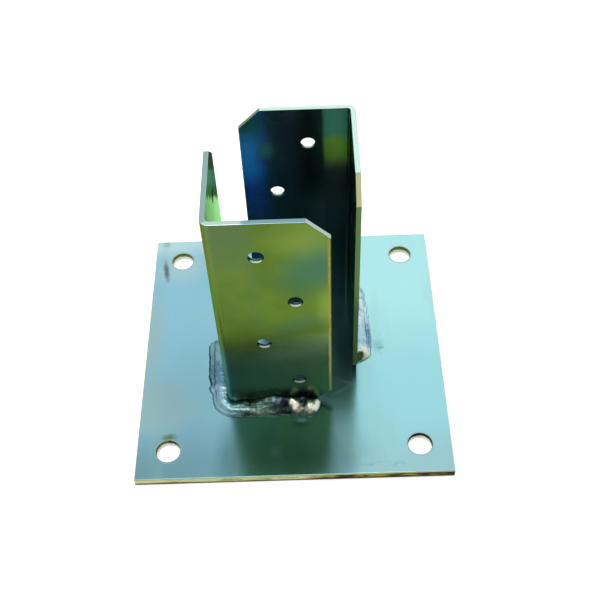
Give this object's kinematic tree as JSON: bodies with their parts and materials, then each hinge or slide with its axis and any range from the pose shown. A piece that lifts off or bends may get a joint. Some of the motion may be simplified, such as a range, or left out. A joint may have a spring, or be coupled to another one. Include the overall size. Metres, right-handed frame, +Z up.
{
  "type": "timber post base",
  "caption": "Welded steel post base: square drilled base plate with two folded angles set corner to corner that clasp a rectangular timber post.",
  "frame": {"origin": "middle of the base plate's underside", "axes": "+X right, +Y back, +Z up along the post"},
  "size_m": [0.2, 0.2, 0.176],
  "materials": {
    "plate_zinc": "iridescent blue zinc plating, semi-gloss",
    "angle_zinc": "olive and green iridescent zinc plating, semi-gloss",
    "weld_metal": "plated weld metal, bright and uneven"
  },
  "bodies": {
    "root": {"base_plate": "plate_zinc", "front_angle": "angle_zinc", "rear_angle": "angle_zinc", "front_weld": "weld_metal", "rear_weld": "weld_metal"}
  },
  "joints": []
}
